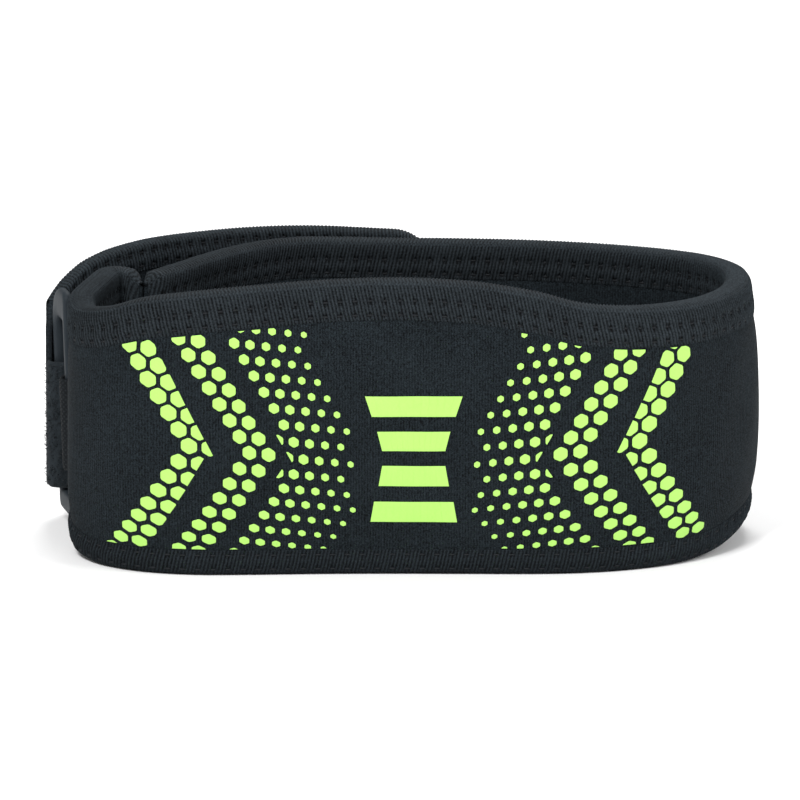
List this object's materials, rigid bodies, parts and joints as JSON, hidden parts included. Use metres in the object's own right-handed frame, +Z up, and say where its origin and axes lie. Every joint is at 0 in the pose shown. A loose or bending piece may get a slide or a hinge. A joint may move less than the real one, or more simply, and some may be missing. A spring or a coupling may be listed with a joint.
{
  "type": "patella strap",
  "caption": "Padded neoprene knee strap fastened in a loop through a plastic slot ring, with a bright geometric print on its front.",
  "frame": {"origin": "middle of the bounding box at floor level, under the lower edge that the strap stands on", "axes": "+Z up along the axis of the leg opening, +X towards the turn away from the ring, +Y towards the rear wall and closing strap, so the printed front faces -Y"},
  "size_m": [0.1584, 0.0864, 0.0666],
  "materials": {
    "neoprene": "knit-faced neoprene, matt bluish black",
    "edge_tape": "ribbed elastic edge tape, matt black",
    "loop_pile": "fuzzy loop pile, black",
    "hook_tape": "moulded hook tape, black",
    "webbing": "plain black webbing",
    "ring_plastic": "smooth dark grey plastic",
    "print": "raised yellow-green silicone print",
    "thread": "black sewing thread"
  },
  "bodies": {
    "root": {"front_panel": "neoprene", "top_binding": "edge_tape", "bottom_binding": "edge_tape", "outer_strap": "neoprene", "outer_binding": "edge_tape", "hook_patch": "hook_tape", "neck_strap": "loop_pile", "ring_tab": "webbing", "ring": "ring_plastic"}
  },
  "joints": []
}
